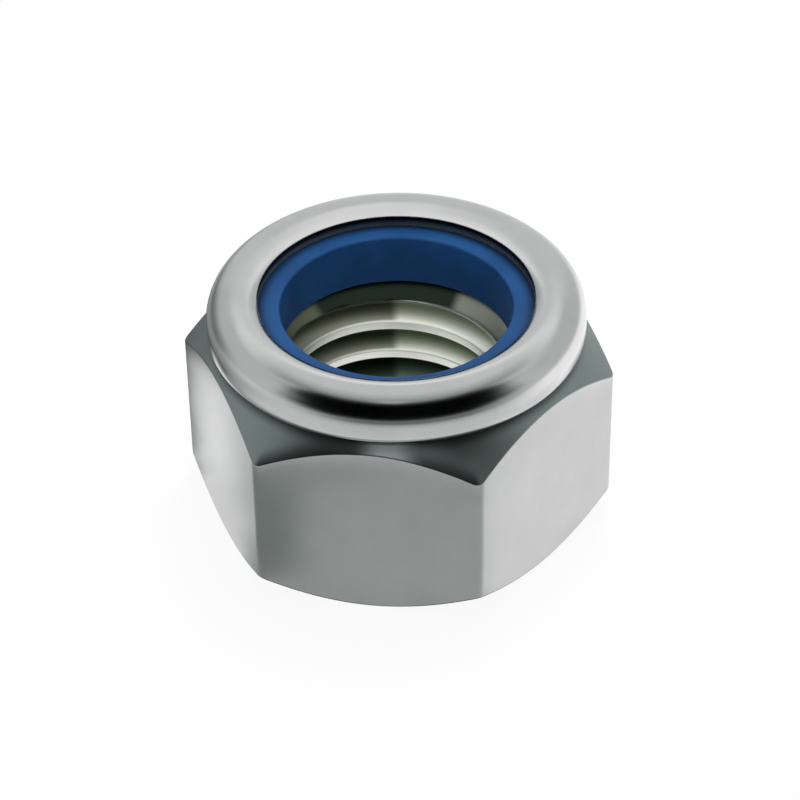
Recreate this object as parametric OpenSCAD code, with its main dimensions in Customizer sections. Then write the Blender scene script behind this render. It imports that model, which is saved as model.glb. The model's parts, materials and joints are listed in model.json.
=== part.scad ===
// Prevailing-torque hexagon nut, M12 x 1.75, with a nylon locking ring.
// A turned and milled steel body holds a moulded nylon ring in a pocket at its top.
// The collar round the pocket has a straight outer wall, and its top is rolled inwards over the ring.
// Millimetres. The origin is the centre of the bearing face; +Z runs up the bore to the ring.
// The body's bore stands at the thread's minor diameter.

/* [Thread] */
// Nominal diameter of the thread
thread_d = 12; // [11.4:0.1:12.4]
// Minor diameter of the thread, which is the bore of the body
thread_minor_d = 10.106; // [9.4:0.001:10.6]

/* [Hexagon] */
// Width across the flats
across_flats = 18; // [17.8:0.1:20]
// How far the six upright edges are blunted, measured from the sharp corner
corner_blunt = 0.09; // [0.02:0.01:0.4]
// Height of the six upper corners above the bearing face
corner_h = 7.98; // [6:0.02:8.3]
// Slope of the upper chamfer, in degrees from the horizontal
top_chamfer_angle = 42.5; // [36:0.5:46]
// Slope of the lower chamfer, in degrees from the horizontal
bottom_chamfer_angle = 38; // [20:0.5:45]
// Diameter of the bearing face inside the lower chamfer
bearing_d = 17.7; // [15:0.1:17.8]

/* [Collar] */
// Overall height of the nut
nut_h = 12; // [11.7:0.1:12.4]
// Outer diameter of the rolled collar
collar_d = 17.9; // [17.5:0.05:18.3]
// Radius of the collar's rolled top
rim_r = 1.42; // [1.3:0.01:1.6]
// Height of the collar's straight outer wall
collar_wall_h = 0.35; // [0.25:0.05:0.6]
// Rounding of the collar's foot, which turns in below the wall and meets the chamfer
foot_r = 0.6; // [0.55:0.05:0.9]
// Diameter of the opening inside the collar's lip
lip_opening_d = 13.07; // [12.2:0.01:14]

/* [Nylon ring] */
// Outer diameter of the ring
ring_d = 15.4; // [15:0.1:15.6]
// Height of the ring
ring_h = 2.65; // [2:0.05:2.8]
// Bore of the ring
ring_bore_d = 10.96; // [10.7:0.01:11.4]
// Depth of the ring's top face below the top of the collar
ring_depth = 0.95; // [0.8:0.05:1.3]
// Rounding of the ring's bore edges
ring_edge_r = 0.15; // [0.05:0.05:0.4]
// Rounding of the ring's upper outer edge, which the rolled collar presses round
ring_shoulder_r = 0.35; // [0.1:0.05:0.6]
// Gap between the ring and the body all round
ring_gap = 0; // [0:0.01:0.05]

/* [Countersinks] */
// Slope of the countersink at the bearing face, in degrees from the horizontal
entry_angle = 30; // [20:1:45]
// How much wider than the nominal thread the countersink's mouth is
entry_extra_d = 0.6; // [0.1:0.1:1.2]
// Slope of the countersink at the pocket's floor, in degrees from the horizontal
lead_angle = 40; // [30:1:50]
// How much wider than the nominal thread the countersink's mouth is at the pocket's floor
lead_extra_d = 0.1; // [0:0.1:0.6]

/* [Hidden] */
$fn = 128;
// Overlap of a cut past the face that it opens
cut = 0.5;
sharp_corner_r = across_flats / 2 / cos(30);
corner_r = sharp_corner_r - corner_blunt;
bearing_r = bearing_d / 2;
minor_r = thread_minor_d / 2;
entry_r = (thread_d + entry_extra_d) / 2;
entry_h = (entry_r - minor_r) * tan(entry_angle);
lead_r = (thread_d + lead_extra_d) / 2;
lead_h = (lead_r - minor_r) * tan(lead_angle);
// Centres of the collar's rolled top and of the rounding at its foot
rim_x = collar_d / 2 - rim_r;
rim_z = nut_h - rim_r;
foot_x = collar_d / 2 - foot_r;
foot_z = rim_z - collar_wall_h;
ring_r = ring_d / 2;
ring_top = nut_h - ring_depth;
ring_floor = ring_top - ring_h;
pocket_r = ring_r + ring_gap;
pocket_floor = ring_floor - ring_gap;
pocket_top = ring_top + ring_gap;
pocket_shoulder_r = ring_shoulder_r + ring_gap;
// The upper chamfer's cone runs on inwards until it is buried in the collar
cone_top_r = rim_x + rim_r / 4;
cone_top_z = corner_h + (corner_r - cone_top_r) * tan(top_chamfer_angle);
lower_corner_z = (corner_r - bearing_r) * tan(bottom_chamfer_angle);

// Right half of the section that the two chamfer cones and the blunt upright edges leave of the hexagon bar
module chamfer_section() {
    polygon([
        [0, 0],
        [bearing_r, 0],
        [corner_r, lower_corner_z],
        [corner_r, corner_h],
        [cone_top_r, cone_top_z],
        [0, cone_top_z]
    ]);
}

// Hexagon bar with a corner on +X, turned to both chamfers
module hexagon() {
    intersection() {
        cylinder(h = cone_top_z, r = sharp_corner_r, $fn = 6);
        rotate_extrude() chamfer_section();
    }
}

// Collar: the rolled top, the straight wall and the rounded foot, filled down into the hexagon
module collar() {
    rotate_extrude() {
        translate([rim_x, rim_z]) circle(r = rim_r);
        translate([rim_x, foot_z]) square([rim_r, collar_wall_h]);
        translate([foot_x, foot_z]) circle(r = foot_r);
        translate([rim_x - rim_r, pocket_floor - cut])
            square([foot_x - rim_x + rim_r, rim_z + cut - pocket_floor]);
    }
}

// Block of revolution whose upper outer edge is round, from the axis out to r
module rounded_plug(r, low, high, edge_r) {
    rotate_extrude() {
        translate([0, low]) square([r, high - low - edge_r]);
        translate([0, low]) square([r - edge_r, high - low]);
        translate([r - edge_r, high - edge_r]) circle(r = edge_r);
    }
}

// Thread bore with a countersink at each end, the pocket of the ring and the lip's opening
module body_cuts() {
    translate([0, 0, -cut]) cylinder(h = pocket_floor + 2 * cut, r = minor_r);
    rotate_extrude() polygon([
        [0, -cut],
        [entry_r + cut / tan(entry_angle), -cut],
        [minor_r, entry_h],
        [0, entry_h]
    ]);
    rotate_extrude() polygon([
        [0, pocket_floor - lead_h],
        [minor_r, pocket_floor - lead_h],
        [lead_r, pocket_floor],
        [0, pocket_floor]
    ]);
    rounded_plug(pocket_r, pocket_floor, pocket_top, pocket_shoulder_r);
    translate([0, 0, ring_floor]) cylinder(h = nut_h + cut - ring_floor, r = lip_opening_d / 2);
}

module nut_body() {
    color([0.72, 0.74, 0.74]) difference() {
        union() {
            hexagon();
            collar();
        }
        body_cuts();
    }
}

// Section of the ring: a rectangle whose two bore edges and upper outer edge are round
module ring_section() {
    bore_r = ring_bore_d / 2;
    translate([bore_r + ring_edge_r, ring_floor]) square([ring_r - bore_r - ring_edge_r, ring_h - ring_shoulder_r]);
    translate([bore_r + ring_edge_r, ring_floor]) square([ring_r - bore_r - ring_edge_r - ring_shoulder_r, ring_h]);
    translate([bore_r, ring_floor + ring_edge_r]) square([ring_edge_r * 2, ring_h - 2 * ring_edge_r]);
    for (z = [ring_floor + ring_edge_r, ring_top - ring_edge_r])
        translate([bore_r + ring_edge_r, z]) circle(r = ring_edge_r);
    translate([ring_r - ring_shoulder_r, ring_top - ring_shoulder_r]) circle(r = ring_shoulder_r);
}

module nylon_insert() {
    color([0.13, 0.3, 0.56]) rotate_extrude() ring_section();
}

nut_body();
nylon_insert();
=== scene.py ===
import json
from math import ceil, cos, pi, radians, sin, tan

import bpy
from mathutils import Matrix, Vector


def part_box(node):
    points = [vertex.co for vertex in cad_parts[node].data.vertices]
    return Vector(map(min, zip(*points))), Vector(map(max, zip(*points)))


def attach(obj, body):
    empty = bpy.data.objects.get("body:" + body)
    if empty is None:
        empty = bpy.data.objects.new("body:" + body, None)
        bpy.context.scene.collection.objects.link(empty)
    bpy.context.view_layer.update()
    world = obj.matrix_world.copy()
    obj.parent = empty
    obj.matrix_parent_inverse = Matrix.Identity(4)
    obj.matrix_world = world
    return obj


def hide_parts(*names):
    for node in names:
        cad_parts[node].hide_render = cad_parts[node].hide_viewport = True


# Nylon insert lock nut: a steel body with a real thread, and the blue ring under its rolled lip.
# The object stands on z = 0 and its axis is Z.
mm = 0.001
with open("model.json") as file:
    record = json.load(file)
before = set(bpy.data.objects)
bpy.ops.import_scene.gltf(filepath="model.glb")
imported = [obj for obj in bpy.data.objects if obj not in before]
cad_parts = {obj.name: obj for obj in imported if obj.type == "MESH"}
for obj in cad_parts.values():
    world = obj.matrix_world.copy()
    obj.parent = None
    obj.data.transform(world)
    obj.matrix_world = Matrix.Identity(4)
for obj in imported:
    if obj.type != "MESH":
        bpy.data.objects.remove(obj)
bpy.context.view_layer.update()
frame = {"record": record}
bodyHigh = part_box("nut_body")[1]
ringLow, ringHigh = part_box("nylon_insert")
mountSizes = {mount["name"]: mount["dims"] for mount in frame["record"]["mounts"]}
print("frame loaded, the nut is", round(bodyHigh.z / mm, 2), "mm high")


# A value in a node tree, so that a sum written in Python adds its Math nodes
class Flow:
    def __init__(self, tree, socket):
        self.tree = tree
        self.socket = socket

    def math(self, operation, *others):
        return self.tree.add("ShaderNodeMath", {"operation": operation}, (self, *others))

    def other(self, name):
        return Flow(self.tree, self.socket.node.outputs[name])

    def __add__(self, value):
        return self.math("ADD", value)

    def __sub__(self, value):
        return self.math("SUBTRACT", value)

    def __rsub__(self, value):
        return self.tree.add("ShaderNodeMath", {"operation": "SUBTRACT"}, (value, self))

    def __mul__(self, value):
        return self.math("MULTIPLY", value)

    def __truediv__(self, value):
        return self.math("DIVIDE", value)

    def __rtruediv__(self, value):
        return self.tree.add("ShaderNodeMath", {"operation": "DIVIDE"}, (value, self))

    def __neg__(self):
        return self.math("MULTIPLY", -1)

    __radd__ = __add__
    __rmul__ = __mul__


# A node tree of either kind: add takes a node's type, then its settings, then what goes into its sockets
class Tree:
    def __init__(self, tree):
        self.tree = tree

    def add(self, kind, settings=None, inputs=(), output=0):
        node = self.tree.nodes.new(kind)
        for name, value in (settings or {}).items():
            if name == "stops":
                setStops(node.color_ramp, value)
            else:
                setattr(node, name, value)
        pairs = inputs.items() if isinstance(inputs, dict) else enumerate(inputs)
        for key, value in pairs:
            if isinstance(value, Flow):
                self.tree.links.new(value.socket, node.inputs[key])
            else:
                node.inputs[key].default_value = value
        return Flow(self, node.outputs[output] if len(node.outputs) else None)


def setStops(ramp, stops):
    while len(ramp.elements) < len(stops):
        ramp.elements.new(1)
    for element, (place, colour) in zip(ramp.elements, stops):
        element.position = place
        element.color = colour if len(colour) == 4 else (*colour, 1)


# Camera: fitted to the picture. Angles are in degrees, and the aim is a point near the axis.
cameraSizes = {
    "azimuth": 9.36,
    "elevation": 37.98,
    "roll": -0.9,
    "distance": 144 * mm,
    "aimRight": 0.106 * mm,
    "aimHeight": 5.363 * mm,
    "lens": 134.63,
    "filmWidth": 36,
    "clipStart": 10 * mm,
    "clipEnd": 10,
}


def makeCamera(sizes):
    turn = radians(sizes["azimuth"])
    rise = radians(sizes["elevation"])
    lean = radians(sizes["roll"])
    back = Vector((sin(turn) * cos(rise), -cos(turn) * cos(rise), sin(rise)))
    right = Vector((cos(turn), sin(turn), 0))
    up = back.cross(right)
    aim = right * sizes["aimRight"] + Vector((0, 0, sizes["aimHeight"]))
    data = bpy.data.cameras.new("camera")
    data.lens = sizes["lens"]
    data.sensor_fit = "HORIZONTAL"
    data.sensor_width = sizes["filmWidth"]
    data.clip_start = sizes["clipStart"]
    data.clip_end = sizes["clipEnd"]
    camera = bpy.data.objects.new("camera", data)
    axes = (right * cos(lean) + up * sin(lean), up * cos(lean) - right * sin(lean), back)
    place = Matrix.Translation(aim + back * sizes["distance"])
    camera.matrix_world = place @ Matrix(axes).transposed().to_4x4()
    bpy.context.scene.collection.objects.link(camera)
    bpy.context.scene.camera = camera


makeCamera(cameraSizes)
print("camera placed")


# Geometry Nodes: a piece turned about Z is a loop of strips, each a grid bent round the axis.
# A strip's radius and height are sums on two fields: angle, round the axis, and along, from 0 to 1
# down its rows.
weldDistance = 0.0005 * mm
sharpAngle = radians(34)
easing = 0.97


class TurnedPiece:
    def __init__(self, name, sizes):
        self.group = bpy.data.node_groups.new(name, "GeometryNodeTree")
        self.group.is_modifier = True
        self.sizes = sizes
        self.tree = Tree(self.group)
        self.group.interface.new_socket("Geometry", in_out="INPUT", socket_type="NodeSocketGeometry")
        for size in sizes:
            kind = "NodeSocketInt" if isinstance(sizes[size], int) else "NodeSocketFloat"
            self.group.interface.new_socket(size, in_out="INPUT", socket_type=kind)
        self.group.interface.new_socket("Geometry", in_out="OUTPUT", socket_type="NodeSocketGeometry")
        self.given = self.tree.add("NodeGroupInput")
        place = self.tree.add("GeometryNodeInputPosition")
        split = self.tree.add("ShaderNodeSeparateXYZ", {}, (place,))
        self.step = split + 0.5
        self.angle = self.step * (2 * pi)
        self.along = split.other("Y") + 0.5
        self.strips = []

    def size(self, name):
        return self.given.other(name)

    # Crowds the columns near the corners of a piece with that many sides
    def crowdColumns(self, sides, share):
        self.angle = self.angle - (self.angle * sides).math("SINE") * (share / sides)

    def strip(self, rows, radius, height, finish=None):
        grid = self.tree.add("GeometryNodeMeshGrid", {}, (1, 1, self.size("columns") + 1, rows + 1))
        x = self.angle.math("COSINE") * radius
        y = self.angle.math("SINE") * radius
        place = self.tree.add("ShaderNodeCombineXYZ", {}, (x, y, height))
        made = self.tree.add("GeometryNodeSetPosition", {}, {"Geometry": grid, "Position": place})
        if finish:
            made = self.tree.add(
                "GeometryNodeStoreNamedAttribute",
                {"data_type": "FLOAT", "domain": "FACE"},
                {"Geometry": made, "Name": finish, "Value": 1.0},
            )
        self.strips.append(made)

    # Straight from one (radius, height) to the next, with its rows drawn towards both ends where eased
    def line(self, rows, start, end, finish=None, eased=True):
        share = self.along
        if eased:
            share = share - (share * (2 * pi)).math("SINE") * (easing / (2 * pi))
        self.strip(
            rows,
            start[0] + share * (end[0] - start[0]),
            start[1] + share * (end[1] - start[1]),
            finish,
        )

    # Part of a circle in the section, from one angle to another
    def arc(self, rows, centre, radius, first, last, finish=None):
        turn = self.along * (last - first) + first
        self.strip(
            rows,
            centre[0] + turn.math("COSINE") * radius,
            centre[1] + turn.math("SINE") * radius,
            finish,
        )

    # Welds the strips, sets the material and returns a plain mesh piece
    def make(self, name, material):
        joined = self.tree.add("GeometryNodeJoinGeometry")
        for strip in reversed(self.strips):
            self.group.links.new(strip.socket, joined.socket.node.inputs[0])
        sockets = {"Geometry": joined, "Distance": weldDistance}
        welded = self.tree.add("GeometryNodeMergeByDistance", {}, sockets)
        real = self.tree.add("GeometryNodeRealizeInstances", {}, {"Geometry": welded})
        sockets = {"Geometry": real, "Material": material}
        painted = self.tree.add("GeometryNodeSetMaterial", {}, sockets)
        out = self.group.nodes.new("NodeGroupOutput")
        self.group.links.new(painted.socket, out.inputs[0])
        holder = bpy.data.objects.new(name + "Nodes", bpy.data.meshes.new(name + "Nodes"))
        bpy.context.scene.collection.objects.link(holder)
        modifier = holder.modifiers.new("nodes", "NODES")
        modifier.node_group = self.group
        for item in self.group.interface.items_tree:
            if item.in_out == "INPUT" and item.name in self.sizes:
                modifier[item.identifier] = self.sizes[item.name]
        evaluated = holder.evaluated_get(bpy.context.evaluated_depsgraph_get())
        mesh = bpy.data.meshes.new_from_object(evaluated)
        bpy.data.objects.remove(holder)
        mesh.name = name
        mesh.shade_smooth()
        mesh.set_sharp_from_angle(angle=sharpAngle)
        piece = bpy.data.objects.new(name, mesh)
        bpy.context.scene.collection.objects.link(piece)
        return piece


# Plated steel. Its finish and painted shade differ by zone, and the faces' own attributes say which zone they
# are in.
# Pairs are the start and end of a change. Turns are azimuths, and rises are heights from the bearing face.
steelSizes = {
    "colour": (0.612, 0.614, 0.612),
    # Chamfer, crease, arch, wall, root, left, low and lead values are painted shade, light and reflection
    "chamferShadeTint": (0.46, 0.53, 0.52),
    "creaseRadius": 8.47 * mm,
    "creaseHeight": 9.66 * mm,
    "creaseReach": 0.75 * mm,
    "creaseShade": 0.1,
    "archReach": 0.75 * mm,
    "archShade": 0.22,
    "archTurns": (radians(29), radians(31)),
    "spotMiddle": radians(-84),
    "spotTurns": (radians(2), radians(11)),
    "wallTop": (0.02, 0.02, 0.02),
    "wallFoot": (0.55, 0.62, 0.64),
    "wallReach": 0.4 * mm,
    "crestColour": (0.95, 0.96, 0.87),
    "crestReach": 0.05 * mm,
    "rootColour": (0.32, 0.4, 0.27),
    "topRootColour": (0.58, 0.62, 0.48),
    "topRises": (5.9 * mm, 6.3 * mm),
    "leftShade": (0.38, 0.38, 0.34),
    "leftTurns": (radians(97), radians(103)),
    "flankStart": 0.02 * mm,
    "flankEnd": 0.14 * mm,
    "lowShade": (0.12, 0.17, 0.16),
    "lowRises": (1.2 * mm, 2.2 * mm),
    "lowEndRises": (3.2 * mm, 4 * mm),
    "leadShadeTint": (0.02, 0.03, 0.022),
    "leadRight": (0.24, 0.26, 0.22),
    "leadLeft": (0.13, 0.15, 0.1),
    "leadSoft": 0.05 * mm,
    "leadMiddle": radians(105),
    "leadTurns": (radians(35), radians(42)),
    "entryRises": (0.6 * mm, 0.9 * mm),
    "flatRoughness": 0.36,
    "chamferRoughness": 0.38,
    "rolledRoughness": 0.17,
    "threadRoughness": 0.4,
    "edgeRoughness": 0.36,
    "insideRoughness": 0.5,
    "cloudRoughness": 0.12,
    "cloudRange": (0.3, 0.7),
    "cloudShades": (0.95, 1.03),
    "cloudScale": 420.0,
    "ringScale": 9000.0,
    "lineScale": 7000.0,
    "lineStretch": 0.04,
    "grainScale": 5000.0,
    "grainShare": 0.5,
    "markStrength": 0.5,
    "markDepth": 0.002 * mm,
}


def startMaterial(name):
    material = bpy.data.materials.new(name)
    material.use_nodes = True
    material.node_tree.nodes.clear()
    return material, Tree(material.node_tree)


# Mixes two colours, either of which may be a link
def mixColours(tree, share, first, second, blend="MIX"):
    first, second = [value if isinstance(value, Flow) else (*value, 1) for value in (first, second)]
    settings = {"data_type": "RGBA", "blend_type": blend}
    return tree.add("ShaderNodeMix", settings, {0: share, 6: first, 7: second}, 2)


# Grey of one level, or a colour of three
def makeColour(tree, *levels):
    red, green, blue = levels if len(levels) == 3 else levels * 3
    return tree.add("ShaderNodeCombineColor", {}, (red, green, blue))


def makeNoise(tree, place, scale, detail, roughness=0.5):
    sockets = {"Vector": place, "Scale": scale, "Detail": detail, "Roughness": roughness}
    return tree.add("ShaderNodeTexNoise", {}, sockets)


# 0 below low and 1 above high, smoothly between them
def smoothStep(value, low, high):
    share = ((value - low) / (high - low)).math("MAXIMUM", 0).math("MINIMUM", 1)
    return share * share * (3 - 2 * share)


def zoneMask(tree, name):
    return tree.add("ShaderNodeAttribute", {"attribute_name": name}, (), "Fac")


def makeSteel(sizes):
    material, tree = startMaterial("platedSteel")
    place = tree.add("ShaderNodeTexCoord", {}, (), "Object")
    x = tree.add("ShaderNodeSeparateXYZ", {}, (place,))
    y = x.other("Y")
    z = x.other("Z")
    radius = (x * x + y * y).math("SQRT")
    chamfer = zoneMask(tree, "chamfer")
    flat = zoneMask(tree, "flat")
    rolled = zoneMask(tree, "rolled")
    thread = zoneMask(tree, "thread")
    inside = zoneMask(tree, "inside")
    turned = (chamfer + rolled + zoneMask(tree, "turned")).math("MINIMUM", 1)

    # Marks: rings where it was turned, upright lines where the bar was drawn, and the grain of the plating
    ringPlace = tree.add("ShaderNodeCombineXYZ", {}, (radius, z, 0.0))
    rings = makeNoise(tree, ringPlace, sizes["ringScale"], 2.0)
    linePlace = tree.add("ShaderNodeCombineXYZ", {}, (x, y, z * sizes["lineStretch"]))
    lines = makeNoise(tree, linePlace, sizes["lineScale"], 2.0)
    grain = makeNoise(tree, place, sizes["grainScale"], 3.0)
    cloud = makeNoise(tree, place, sizes["cloudScale"], 4.0, 0.6)
    marks = rings * turned + lines * flat + grain * sizes["grainShare"]

    # Painted shade on the chamfer: darker in the crease under the collar and along its front edges
    sockets = (cloud, *sizes["cloudRange"], *sizes["cloudShades"])
    shade = tree.add("ShaderNodeMapRange", {}, sockets)
    azimuth = y.math("ARCTAN2", x)
    # A bright spot in the front middle is left out of the painted shade
    fromSpot = (azimuth - sizes["spotMiddle"]).math("ABSOLUTE")
    dark = chamfer * smoothStep(fromSpot, *sizes["spotTurns"])
    rise = z - sizes["creaseHeight"]
    reach = radius - sizes["creaseRadius"]
    crease = 1 - smoothStep((rise * rise + reach * reach).math("SQRT"), 0, sizes["creaseReach"])
    shade = shade * (1 - crease * (1 - sizes["creaseShade"]) * dark)
    # The painted shade along the front edges lies on the front face's side of the chamfer only
    fromFlat = (azimuth + pi / 2).math("ABSOLUTE")
    toEdge = nutSizes["flatHalf"] / fromFlat.math("MINIMUM", pi / 6).math("COSINE") - radius
    arch = 1 - smoothStep(toEdge, 0, sizes["archReach"])
    arch = arch * (1 - smoothStep(fromFlat, *sizes["archTurns"]))
    shade = shade * (1 - arch * (1 - sizes["archShade"]) * dark)
    plain = mixColours(tree, 1.0, sizes["colour"], makeColour(tree, shade), "MULTIPLY")
    # Painted shade: the whole chamfer is darker and greener than the rest of the steel
    plain = mixColours(tree, chamfer, plain, sizes["chamferShadeTint"], "MULTIPLY")

    # Painted shade darkens the wall under the lip upwards; its bluish foot is a painted reflection of the
    # ring
    wallShare = smoothStep(z, nutSizes["pocketTop"], nutSizes["pocketTop"] + sizes["wallReach"])
    wallShadeTint = mixColours(tree, wallShare, sizes["wallFoot"], sizes["wallTop"])
    plain = mixColours(tree, inside, plain, wallShadeTint, "MULTIPLY")

    # Painted shade on the thread: darker with its depth, on its left half and towards the bottom
    # Crests are bright partly as worn metal, partly as painted highlight; the top groove's root is painted
    # lighter
    minor = nutSizes["minorRadius"]
    depth = smoothStep(radius, minor + sizes["crestReach"], nutSizes["majorRadius"])
    topShare = smoothStep(z, *sizes["topRises"])
    rootColour = mixColours(tree, topShare, sizes["rootColour"], sizes["topRootColour"])
    threadColour = mixColours(tree, depth, sizes["crestColour"], rootColour)
    leftShare = smoothStep(azimuth, *sizes["leftTurns"])
    onFlank = smoothStep(radius, minor + sizes["flankStart"], minor + sizes["flankEnd"])
    threadColour = mixColours(tree, leftShare * onFlank, threadColour, sizes["leftShade"], "MULTIPLY")
    lowShare = (1 - smoothStep(z, *sizes["lowEndRises"])) * smoothStep(z, *sizes["lowRises"])
    threadColour = mixColours(tree, lowShare, threadColour, sizes["lowShade"], "MULTIPLY")

    # The upper countersink is painted dark at the back and lighter on both sides, and the lower one is plain
    # Its dark back and lighter sides are painted shade and reflection
    leadDepth = (nutSizes["leadRadius"] - minor) * tan(nutSizes["leadSlope"])
    leadFoot = nutSizes["pocketFloor"] - leadDepth
    lead = smoothStep(z, leadFoot - sizes["leadSoft"], leadFoot + sizes["leadSoft"])
    leadSide = mixColours(tree, leftShare, sizes["leadRight"], sizes["leadLeft"])
    leadShare = smoothStep((azimuth - sizes["leadMiddle"]).math("ABSOLUTE"), *sizes["leadTurns"])
    leadColour = mixColours(tree, leadShare, sizes["leadShadeTint"], leadSide)
    threadColour = mixColours(tree, lead, threadColour, leadColour)
    colour = mixColours(tree, thread * smoothStep(z, *sizes["entryRises"]), plain, threadColour)

    # Roughness
    roughness = (
        flat * sizes["flatRoughness"]
        + chamfer * sizes["chamferRoughness"]
        + rolled * sizes["rolledRoughness"]
        + thread * sizes["threadRoughness"]
        + inside * sizes["insideRoughness"]
    )
    known = (flat + chamfer + rolled + thread + inside).math("MINIMUM", 1)
    roughness = roughness + (1 - known) * sizes["edgeRoughness"]
    roughness = roughness + (cloud - 0.5) * sizes["cloudRoughness"]
    sockets = {"Strength": sizes["markStrength"], "Distance": sizes["markDepth"], "Height": marks}
    bump = tree.add("ShaderNodeBump", {}, sockets)
    shader = tree.add(
        "ShaderNodeBsdfPrincipled",
        {},
        {"Base Color": colour, "Metallic": 1.0, "Roughness": roughness, "Normal": bump},
    )
    tree.add("ShaderNodeOutputMaterial", {}, {"Surface": shader})
    return material


# Nut body
nutSizes = {
    "columns": 360,
    "flatHalf": bodyHigh.y,
    "cornerRound": (bodyHigh.y / cos(pi / 6) - bodyHigh.x) / (1 / cos(pi / 6) - 1),
    "edgeRound": 0.1 * mm,
    "bluntRadius": bodyHigh.x,
    "cornerHeight": 7.98 * mm,
    "upperSlope": radians(42.5),
    "lowerSlope": radians(38),
    "bearingRadius": 8.85 * mm,
    "height": bodyHigh.z,
    "rimOuter": 8.95 * mm,
    "rimRound": 1.42 * mm,
    "collarWall": 0.5 * mm,
    "footRound": 0.42 * mm,
    "lipRadius": 6.535 * mm,
    "lipRound": 0.07 * mm,
    "pocketRadius": ringHigh.x,
    "pocketTop": ringHigh.z,
    "pocketFloor": ringLow.z,
    "shoulderRound": 0.35 * mm,
    "minorRadius": mountSizes["thread"]["r_mm"] * mm,
    "majorRadius": 6.0 * mm,
    "pitch": 1.75 * mm,
    "crestHeight": 0.34 * mm,
    "stepsPerTurn": 32,
    "crestSoft": 0.1 * mm,
    "rootSoft": 0.15 * mm,
    "leadSoft": 0.15 * mm,
    "entryRadius": 6.3 * mm,
    "entrySlope": radians(30),
    "leadRadius": 6.05 * mm,
    "leadSlope": radians(40),
}


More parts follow.
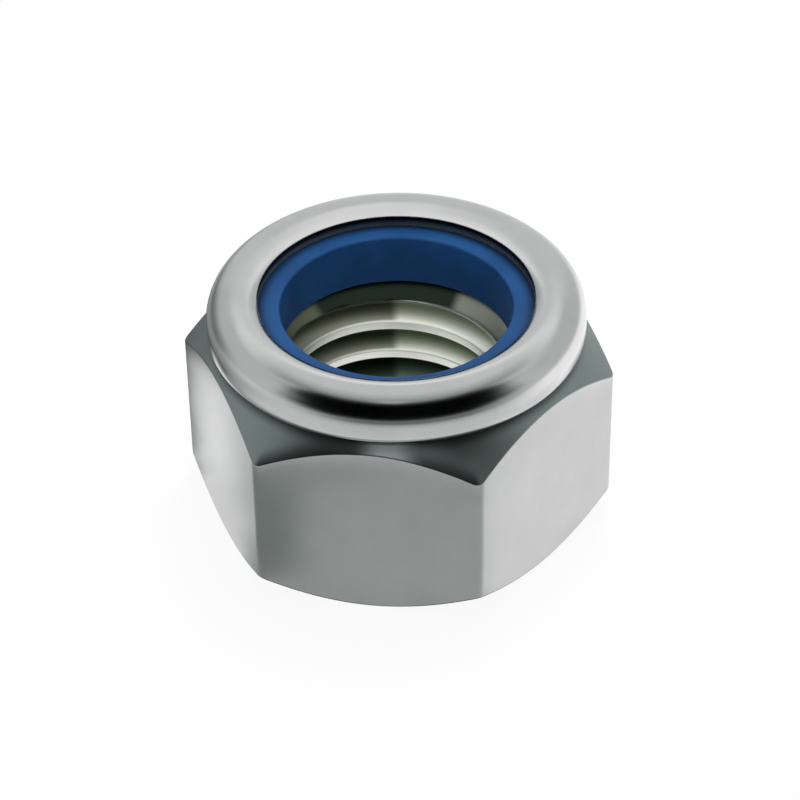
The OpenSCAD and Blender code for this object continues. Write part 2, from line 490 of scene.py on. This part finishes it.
def makeNutBody(sizes, material):
    nut = TurnedPiece("nutBodyNodes", sizes)
    size = nut.size
    sides = 6
    crowding = 0.8
    nut.crowdColumns(sides, crowding)

    # Radius of the hexagon at each angle: flats, and a round edge centred on each corner's middle line
    sector = 2 * pi / sides
    fromCorner = nut.angle - (nut.angle / sector).math("ROUND") * sector
    fromFlat = sector / 2 - fromCorner.math("ABSOLUTE")
    flatRadius = size("flatHalf") / fromFlat.math("COSINE")
    centreRadius = (size("flatHalf") - size("cornerRound")) / cos(sector / 2)
    across = centreRadius * fromCorner.math("SINE")
    reach = (size("cornerRound") * size("cornerRound") - across * across).math("MAXIMUM", 0).math("SQRT")
    roundRadius = centreRadius * fromCorner.math("COSINE") + reach
    flatEnd = (size("flatHalf") - size("cornerRound")) * tan(sector / 2)
    tangentAngle = sector / 2 - (flatEnd / size("flatHalf")).math("ARCTANGENT")
    onCorner = fromCorner.math("ABSOLUTE").math("LESS_THAN", tangentAngle)
    side = flatRadius + (roundRadius - flatRadius) * onCorner

    # Bearing face, lower chamfer, flat and upper chamfer, with a small round on each edge between them
    lower = size("lowerSlope")
    upper = size("upperSlope")
    edge = size("edgeRound")
    lowerTangent = (lower / 2).math("TANGENT") * edge
    bearing = size("bearingRadius")
    faceEnd = (bearing - lowerTangent, 0)
    chamferFoot = (bearing + lowerTangent * lower.math("COSINE"), lowerTangent * lower.math("SINE"))
    lowTangent = ((pi / 2 - lower) / 2).math("TANGENT") * edge
    lowHeight = (side - bearing) * lower.math("TANGENT")
    chamferTop = (side - lowTangent * lower.math("COSINE"), lowHeight - lowTangent * lower.math("SINE"))
    highTangent = ((pi / 2 - upper) / 2).math("TANGENT") * edge
    highHeight = size("cornerHeight") + (size("bluntRadius") - side) * upper.math("TANGENT")
    coneFoot = (side - highTangent * upper.math("COSINE"), highHeight + highTangent * upper.math("SINE"))
    nut.line(6, (size("entryRadius"), 0), faceEnd, "turned")
    nut.arc(4, (bearing - lowerTangent, edge), edge, -pi / 2, lower - pi / 2)
    nut.line(8, chamferFoot, chamferTop, "chamfer")
    nut.arc(5, (side - edge, lowHeight + lowTangent), edge, lower - pi / 2, 0, "chamfer")
    nut.line(14, (side, lowHeight + lowTangent), (side, highHeight - highTangent), "flat")
    nut.arc(5, (side - edge, highHeight - highTangent), edge, 0, pi / 2 - upper, "chamfer")

    # Collar: the chamfer runs in until it meets the rounding under the collar's straight wall
    rimX = size("rimOuter") - size("rimRound")
    rimZ = size("height") - size("rimRound")
    footX = size("rimOuter") - size("footRound")
    footZ = rimZ - size("collarWall")
    coneDrop = (size("bluntRadius") - footX) * upper.math("TANGENT") + size("cornerHeight") - footZ
    normalGap = coneDrop * upper.math("COSINE")
    meet = pi / 2 - upper - (normalGap / size("footRound")).math("ARCCOSINE")
    meetPoint = (
        footX + meet.math("COSINE") * size("footRound"),
        footZ + meet.math("SINE") * size("footRound"),
    )
    nut.line(10, coneFoot, meetPoint, "chamfer")
    nut.arc(12, (footX, footZ), size("footRound"), meet, 0, "rolled")
    nut.line(2, (size("rimOuter"), footZ), (size("rimOuter"), rimZ), "rolled", False)
    lipEdge = size("lipRound")
    lipX = size("lipRadius") + lipEdge
    fromRim = lipX - rimX
    rimLess = size("rimRound") - lipEdge
    lipZ = rimZ + (rimLess * rimLess - fromRim * fromRim).math("SQRT")
    lipTurn = (lipZ - rimZ).math("ARCTAN2", fromRim)
    nut.arc(30, (rimX, rimZ), size("rimRound"), 0, lipTurn, "rolled")
    nut.arc(5, (lipX, lipZ), lipEdge, lipTurn, pi)
    nut.line(4, (size("lipRadius"), lipZ), (size("lipRadius"), size("pocketTop")), "inside")

    # Pocket of the ring
    shoulder = size("shoulderRound")
    shoulderX = size("pocketRadius") - shoulder
    shoulderZ = size("pocketTop") - shoulder
    wall = size("pocketRadius")
    floor = size("pocketFloor")
    nut.line(2, (size("lipRadius"), size("pocketTop")), (shoulderX, size("pocketTop")), "inside", False)
    nut.arc(5, (shoulderX, shoulderZ), shoulder, pi / 2, 0, "inside")
    nut.line(2, (wall, shoulderZ), (wall, floor), "inside", False)
    nut.line(2, (wall, floor), (size("leadRadius"), floor), "inside", False)

    # Thread: the rows follow the helix, and each countersink cuts it where it lies deeper
    turns = ceil(sizes["pocketFloor"] / sizes["pitch"]) + 1
    rise = size("pitch") * nut.angle / (2 * pi)
    row = nut.along * (turns * sizes["stepsPerTurn"])
    free = floor - row * size("pitch") / size("stepsPerTurn") + rise
    height = free.math("MINIMUM", floor).math("MAXIMUM", 0)
    phase = (height - rise - size("crestHeight")) / size("pitch") + 0.5
    fromCrest = (phase.math("FRACT") - 0.5).math("ABSOLUTE") * size("pitch")
    flankAngle = radians(30)
    crestHalf = size("pitch") / 8
    flank = (fromCrest - crestHalf) * (1 / tan(flankAngle))
    depth = size("majorRadius") - size("minorRadius")
    groove = flank.math("SMOOTH_MAX", 0, size("crestSoft")).math("SMOOTH_MIN", depth, size("rootSoft"))
    entryCut = size("entryRadius") - size("minorRadius") - height / size("entrySlope").math("TANGENT")
    leadMost = size("leadRadius") - size("minorRadius")
    leadCut = leadMost - (floor - height) / size("leadSlope").math("TANGENT")
    cut = groove.math("SMOOTH_MAX", leadCut, size("leadSoft")).math("MINIMUM", leadMost)
    cut = cut.math("MAXIMUM", entryCut)
    nut.strip(turns * sizes["stepsPerTurn"], size("minorRadius") + cut, height, "thread")

    piece = nut.make("lockNutBody", material)
    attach(piece, "root")
    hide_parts("nut_body")
    return piece


nutBody = makeNutBody(nutSizes, makeSteel(steelSizes))
print("nut body made,", len(nutBody.data.polygons), "faces")


# Nylon ring
ringSizes = {
    "columns": 240,
    "outerRadius": ringHigh.x,
    "low": ringLow.z,
    "top": ringHigh.z,
    "boreRadius": mountSizes["ring_bore"]["r_mm"] * mm,
    "shoulderRound": 0.35 * mm,
    "boreEdge": 0.15 * mm,
}


def makeRing(sizes, material):
    ring = TurnedPiece("nylonRingNodes", sizes)
    size = ring.size
    outer = size("outerRadius")
    low = size("low")
    top = size("top")
    bore = size("boreRadius")
    shoulder = size("shoulderRound")
    edge = size("boreEdge")
    ring.line(2, (outer, low), (outer, top - shoulder))
    ring.arc(6, (outer - shoulder, top - shoulder), shoulder, 0, pi / 2)
    ring.line(8, (outer - shoulder, top), (bore + edge, top))
    ring.arc(8, (bore + edge, top - edge), edge, pi / 2, pi)
    ring.line(10, (bore, top - edge), (bore, low + edge))
    ring.arc(6, (bore + edge, low + edge), edge, pi, pi * 3 / 2)
    ring.line(4, (bore + edge, low), (outer, low))
    piece = ring.make("nylonRing", material)
    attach(piece, "root")
    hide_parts("nylon_insert")
    return piece


# Moulded nylon, satin, in shade near the lip
nylonFinish = {
    "colour": (0.012, 0.074, 0.225),
    "deepColour": (0.009, 0.058, 0.18),
    "shadeColour": (0.004, 0.012, 0.03),
    "shadeStart": 5.95 * mm,
    "shadeEnd": 6.6 * mm,
    "roughness": 0.4,
    "cloudRoughness": 0.15,
    "cloudRange": (0.35, 0.65),
    "cloudScale": 350.0,
    "shine": 0.12,
    "grainScale": 6000.0,
    "grainStrength": 0.4,
    "grainDepth": 0.004 * mm,
}


def makeNylon(sizes):
    material, tree = startMaterial("blueNylon")
    place = tree.add("ShaderNodeTexCoord", {}, (), "Object")
    cloud = makeNoise(tree, place, sizes["cloudScale"], 4.0)
    grain = makeNoise(tree, place, sizes["grainScale"], 3.0)
    cloudShare = smoothStep(cloud, *sizes["cloudRange"])
    colour = mixColours(tree, cloudShare, sizes["deepColour"], sizes["colour"])
    x = tree.add("ShaderNodeSeparateXYZ", {}, (place,))
    y = x.other("Y")
    radius = (x * x + y * y).math("SQRT")
    shadeShare = smoothStep(radius, sizes["shadeStart"], sizes["shadeEnd"])
    colour = mixColours(tree, shadeShare, colour, sizes["shadeColour"])
    sockets = {"Strength": sizes["grainStrength"], "Distance": sizes["grainDepth"], "Height": grain}
    bump = tree.add("ShaderNodeBump", {}, sockets)
    shader = tree.add(
        "ShaderNodeBsdfPrincipled",
        {},
        {
            "Base Color": colour,
            "Roughness": (cloud - 0.5) * sizes["cloudRoughness"] + sizes["roughness"],
            "IOR": 1.53,
            "Specular IOR Level": sizes["shine"],
            "Normal": bump,
        },
    )
    tree.add("ShaderNodeOutputMaterial", {}, {"Surface": shader})
    return material


nylonRing = makeRing(ringSizes, makeNylon(nylonFinish))
print("nylon ring made,", len(nylonRing.data.polygons), "faces")


# Stage: a plain pale floor under a white sky, one soft lamp, and cards that only mirrored rays see
stageSizes = {
    "floorHalf": 0.6,
    "floorDrop": 0.01 * mm,
    "floorShade": 0.8,
    "shadowSeen": 0.08,
    "shadowMirrored": 0.15,
    "skyMirrored": 0.78,
    "floorMirrored": 0.78,
    "skyLight": 0.8,
    "lampAzimuth": 80,
    "lampElevation": 68,
    "lampDistance": 0.5,
    "lampSize": 0.15,
    "lampPower": 1.2,
}

# What the metal mirrors, painted on sky and floor in patches that lie over each other in this order.
# A patch is given by its middle, half its width and its softness, as azimuths in degrees, and by its start,
# its end and the softness there: elevations in degrees in the sky, millimetres from the axis on the floor.
skyPatches = (
    {"middle": 0, "half": 200, "soft": 1, "start": 70, "end": 200, "edge": 10, "level": 1.0},
    {"middle": 40, "half": 35, "soft": 12, "start": -99, "end": 42, "edge": 8, "level": 0.66},
    {"middle": 160, "half": 40, "soft": 15, "start": -99, "end": 60, "edge": 10, "level": 0.66},
    {"middle": 150, "half": 20, "soft": 14, "start": -99, "end": 10, "edge": 10, "level": 0.3},
    {"middle": 281, "half": 62, "soft": 22, "start": -1, "end": 54, "edge": 8, "level": 0.0},
    {"middle": 281, "half": 65, "soft": 13, "start": 10, "end": 60, "edge": 6, "level": 0.0},
    {"middle": 281, "half": 76, "soft": 18, "start": 40, "end": 60, "edge": 8, "level": 0.0},
    {"middle": 272, "half": 14, "soft": 12, "start": 47, "end": 80, "edge": 5, "level": 3.2},
)
floorPatches = (
    {"middle": 24, "half": 40, "soft": 18, "start": -20, "end": 100, "edge": 60, "level": 1.3},
    {"middle": 158, "half": 36, "soft": 32, "start": -20, "end": 40, "edge": 30, "level": 0.05},
    {"middle": 146, "half": 28, "soft": 20, "start": 40, "end": 5000, "edge": 30, "level": 0.1},
    {"middle": 288, "half": 54, "soft": 30, "start": 46, "end": 5000, "edge": 36, "level": 0.06},
    {"middle": 0, "half": 200, "soft": 1, "start": -20, "end": 11.5, "edge": 0.2, "level": 1.0},
    {"middle": 267, "half": 40, "soft": 7, "start": -20, "end": 11.5, "edge": 0.2, "level": 0.44},
    {"middle": 226, "half": 12, "soft": 6, "start": 10, "end": 11.5, "edge": 0.5, "level": 0.35},
    {"middle": 236, "half": 12, "soft": 5, "start": -20, "end": 9.6, "edge": 0.4, "level": 0.3},
    {"middle": 175, "half": 9, "soft": 4, "start": 8, "end": 11.5, "edge": 1, "level": 0.4},
)
# On the low ring of card round the hexagon, patches start and end at heights in millimetres
ringPatches = (
    {"middle": 138, "half": 41, "soft": 4, "start": -20, "end": 20, "edge": 1, "level": 0.2},
    {"middle": 189, "half": 7, "soft": 4, "start": -20, "end": 6.4, "edge": 1, "level": 1.25},
    {"middle": 196, "half": 14, "soft": 10, "start": 6.6, "end": 20, "edge": 0.6, "level": 0.5},
    {"middle": 258, "half": 55, "soft": 9, "start": -20, "end": 20, "edge": 1, "level": 0.465},
    {"middle": 258, "half": 55, "soft": 9, "start": 6, "end": 20, "edge": 0.7, "level": 0.4},
    {"middle": 236, "half": 16, "soft": 6, "start": -20, "end": 20, "edge": 1, "level": 0.26},
    {"middle": 256, "half": 15, "soft": 8, "start": 5.8, "end": 20, "edge": 0.8, "level": 0.32},
    {"middle": 165, "half": 35, "soft": 8, "start": 6.6, "end": 20, "edge": 0.4, "level": 0.1},
    {"middle": 15, "half": 30, "soft": 10, "start": 7, "end": 20, "edge": 0.4, "level": 1.35},
    {"middle": 281, "half": 68, "soft": 10, "start": 7.2, "end": 20, "edge": 0.4, "level": 0.9},
)
# On the round card above the collar, patches start and end at distances from the axis in millimetres
roofPatches = (
    {"middle": 60, "half": 28, "soft": 26, "start": 5.6, "end": 50, "edge": 1.6, "level": 0.78},
    {"middle": 148, "half": 28, "soft": 24, "start": 5.6, "end": 50, "edge": 1.6, "level": 0.85},
    {"middle": 105, "half": 75, "soft": 15, "start": 9.6, "end": 50, "edge": 1.4, "level": 0.8},
    {"middle": 279, "half": 88, "soft": 30, "start": -5, "end": 50, "edge": 1, "level": 0.8},
    {"middle": 279, "half": 64, "soft": 20, "start": 7.8, "end": 50, "edge": 1.2, "level": 0.55},
    {"middle": 279, "half": 52, "soft": 20, "start": 9.4, "end": 50, "edge": 0.9, "level": 0.1},
)


def paintedLight(azimuth, measure, level, patches):
    for patch in patches:
        turn = azimuth - radians(patch["middle"])
        turn = (turn - (turn / (2 * pi)).math("ROUND") * (2 * pi)).math("ABSOLUTE")
        soft = patch["soft"]
        edge = patch["edge"]
        sides = 1 - smoothStep(turn, radians(patch["half"] - soft), radians(patch["half"] + soft))
        inner = smoothStep(measure, patch["start"] - edge, patch["start"] + edge)
        outer = 1 - smoothStep(measure, patch["end"] - edge, patch["end"] + edge)
        level = level + (patch["level"] - level) * (sides * inner * outer)
    return level


# The painted light as a colour: the darker it is, the more it leans to green
lightLean = {"redLoss": 0.14, "blueLoss": 0.03}


def lightColour(tree, level):
    dark = (1 - level).math("MAXIMUM", 0)
    red = level * (1 - lightLean["redLoss"] * dark)
    blue = level * (1 - lightLean["blueLoss"] * dark)
    return makeColour(tree, red, level, blue)


# 1 for rays whose view of the white background counts: the camera's, and what metal and glass show
def seenRays(tree):
    path = tree.add("ShaderNodeLightPath")
    seen = path.other("Is Camera Ray").math("MAXIMUM", path.other("Is Glossy Ray"))
    return path, seen.math("MAXIMUM", path.other("Is Transmission Ray"))


def makeWorld(sizes, patches):
    world = bpy.data.worlds.new("studio")
    bpy.context.scene.world = world
    world.use_nodes = True
    world.cycles.sampling_method = "NONE"
    world.node_tree.nodes.clear()
    tree = Tree(world.node_tree)
    path, seen = seenRays(tree)
    towards = tree.add("ShaderNodeTexCoord", {}, (), "Generated")
    x = tree.add("ShaderNodeSeparateXYZ", {}, (towards,))
    azimuth = x.other("Y").math("ARCTAN2", x)
    elevation = x.other("Z").math("ARCSINE") * (180 / pi)
    mirrored = paintedLight(azimuth, elevation, sizes["skyMirrored"], patches)
    white = mirrored + (1 - mirrored) * path.other("Is Camera Ray")
    level = sizes["skyLight"]
    light = tree.add("ShaderNodeBackground", {}, {"Color": (level, level, level, 1)})
    shown = tree.add("ShaderNodeBackground", {}, {"Color": lightColour(tree, white)})
    mixed = tree.add("ShaderNodeMixShader", {}, (seen, light, shown))
    tree.add("ShaderNodeOutputWorld", {}, {"Surface": mixed})


def addStagePiece(name, points, faces, material):
    mesh = bpy.data.meshes.new(name)
    mesh.from_pydata(points, [], faces)
    mesh.materials.append(material)
    piece = bpy.data.objects.new(name, mesh)
    bpy.context.scene.collection.objects.link(piece)
    return piece


def makeFloor(sizes, patches):
    material, tree = startMaterial("paleFloor")
    material.cycles.emission_sampling = "NONE"
    path, seen = seenRays(tree)
    x = tree.add("ShaderNodeSeparateXYZ", {}, (tree.add("ShaderNodeTexCoord", {}, (), "Object"),))
    y = x.other("Y")
    away = (x * x + y * y).math("SQRT") / mm
    mirrored = paintedLight(y.math("ARCTAN2", x), away, sizes["floorMirrored"], patches)
    white = mirrored + (1 - mirrored) * path.other("Is Camera Ray")
    shadowGain = sizes["shadowSeen"] - sizes["shadowMirrored"]
    shadow = path.other("Is Camera Ray") * shadowGain + sizes["shadowMirrored"]
    shade = sizes["floorShade"]
    matt = tree.add("ShaderNodeBsdfDiffuse", {}, {"Color": (shade, shade, shade, 1)})
    glow = tree.add("ShaderNodeEmission", {}, {"Color": lightColour(tree, white)})
    mixed = tree.add("ShaderNodeMixShader", {}, (seen * (1 - shadow), matt, glow))
    tree.add("ShaderNodeOutputMaterial", {}, {"Surface": mixed})
    half = sizes["floorHalf"]
    low = -sizes["floorDrop"]
    corners = [(-half, -half, low), (half, -half, low), (half, half, low), (-half, half, low)]
    addStagePiece("floor", corners, [(0, 1, 2, 3)], material)


# Cards near the nut, which only mirrored rays see. Each is a strip turned round the axis, given by the radius
# and the height of its two edges, its middle and half its width in degrees, and how far its edges fade.
darkCard = {
    "first": (11 * mm, 12.2 * mm),
    "last": (11 * mm, 21 * mm),
    "firstFade": 1.6 * mm,
    "lastFade": 4 * mm,
    "middle": 279,
    "halfWidth": 50,
    "sideFade": 16,
    "level": 0.0,
}
ringCard = {
    "first": (11.5 * mm, 0),
    "last": (11.5 * mm, 8.2 * mm),
    "firstFade": 0,
    "lastFade": 0.8 * mm,
    "middle": 0,
    "halfWidth": 180,
    "sideFade": 0,
    "level": 0.97,
}
roofCard = {
    "first": (0, 16 * mm),
    "last": (11.4 * mm, 16 * mm),
    "firstFade": 0,
    "lastFade": 2.4 * mm,
    "middle": 0,
    "halfWidth": 180,
    "sideFade": 0,
    "level": 1.1,
}


def fadeShare(distance, fade):
    share = min(1, distance / fade) if fade else 1
    return share * share * (3 - 2 * share)


def makeCard(name, sizes, patches, flat=False):
    material, tree = startMaterial(name)
    material.cycles.emission_sampling = "NONE"
    x = tree.add("ShaderNodeSeparateXYZ", {}, (tree.add("ShaderNodeTexCoord", {}, (), "Object"),))
    y = x.other("Y")
    measure = (x * x + y * y).math("SQRT") / mm if flat else x.other("Z") / mm
    level = paintedLight(y.math("ARCTAN2", x), measure, sizes["level"], patches)
    clear = tree.add("ShaderNodeBsdfTransparent")
    if isinstance(level, Flow):
        level = lightColour(tree, level)
    else:
        level = (level, level, level, 1)
    shown = tree.add("ShaderNodeEmission", {}, {"Color": level})
    mixed = tree.add("ShaderNodeMixShader", {}, (zoneMask(tree, "cover"), clear, shown))
    tree.add("ShaderNodeOutputMaterial", {}, {"Surface": mixed})
    columns = 96
    rows = 32
    start = Vector(sizes["first"])
    section = Vector(sizes["last"]) - start
    points = []
    covers = []
    for row in range(rows + 1):
        share = row / rows
        radius, height = start + section * share
        ends = fadeShare(section.length * share, sizes["firstFade"])
        ends = ends * fadeShare(section.length * (1 - share), sizes["lastFade"])
        for column in range(columns + 1):
            turn = sizes["halfWidth"] * (2 * column / columns - 1)
            angle = radians(sizes["middle"] + turn)
            points.append((cos(angle) * radius, sin(angle) * radius, height))
            covers.append(ends * fadeShare(sizes["halfWidth"] - abs(turn), sizes["sideFade"]))
    faces = []
    for row in range(rows):
        for column in range(columns):
            first = row * (columns + 1) + column
            faces.append((first, first + 1, first + columns + 2, first + columns + 1))
    card = addStagePiece(name, points, faces, material)
    card.data.attributes.new("cover", "FLOAT", "POINT").data.foreach_set("value", covers)
    card.visible_camera = False
    card.visible_diffuse = False
    card.visible_shadow = False


def makeLamp(sizes):
    turn = radians(sizes["lampAzimuth"])
    rise = radians(sizes["lampElevation"])
    towards = Vector((cos(turn) * cos(rise), sin(turn) * cos(rise), sin(rise)))
    data = bpy.data.lights.new("lamp", "AREA")
    data.shape = "DISK"
    data.size = sizes["lampSize"]
    data.energy = sizes["lampPower"]
    lamp = bpy.data.objects.new("lamp", data)
    lamp.location = towards * sizes["lampDistance"]
    lamp.rotation_euler = towards.to_track_quat("Z", "Y").to_euler()
    lamp.visible_glossy = False
    bpy.context.scene.collection.objects.link(lamp)


makeWorld(stageSizes, skyPatches)
makeFloor(stageSizes, floorPatches)
makeCard("darkCard", darkCard, ())
makeCard("ringCard", ringCard, ringPatches)
makeCard("roofCard", roofCard, roofPatches, True)
makeLamp(stageSizes)
bpy.context.scene.view_settings.view_transform = "Standard"
print("stage made")
